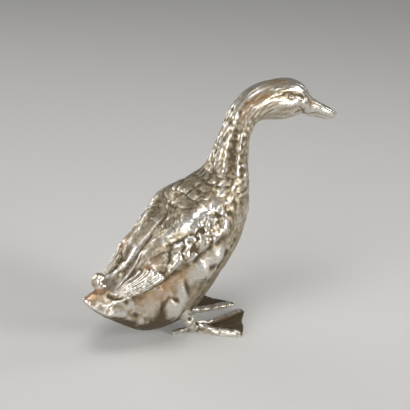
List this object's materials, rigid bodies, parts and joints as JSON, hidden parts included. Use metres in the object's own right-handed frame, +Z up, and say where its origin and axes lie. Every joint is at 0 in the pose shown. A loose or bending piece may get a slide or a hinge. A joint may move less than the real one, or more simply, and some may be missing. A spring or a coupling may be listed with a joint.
{
  "type": "duck figurine",
  "caption": "Cast silver duck figurine standing on webbed feet, with soldered folded wings, a rolled tail curl, a raised neck, a closed bill and bead eyes; a shelf or desk ornament.",
  "frame": {"origin": "on the floor, under the middle of the object's box", "axes": "+X the way the duck faces, +Y its left side, +Z up"},
  "size_m": [0.1055, 0.0402, 0.0886],
  "materials": {
    "cast_silver": "cast silver with a worn polish, brown tarnish in the recesses",
    "worn_silver": "cast silver, rubbed bright on the high spots, dark tarnish between the feathers",
    "dark_silver": "tarnished silver with a warm coppery tone"
  },
  "bodies": {
    "root": {"right_body_shell": "cast_silver", "left_body_shell": "cast_silver", "neck_and_head": "cast_silver", "tail": "dark_silver", "tail_curl": "worn_silver", "right_wing": "worn_silver", "left_wing": "worn_silver", "right_leg": "cast_silver", "left_leg": "cast_silver", "right_eye": "dark_silver", "left_eye": "dark_silver"}
  },
  "joints": []
}
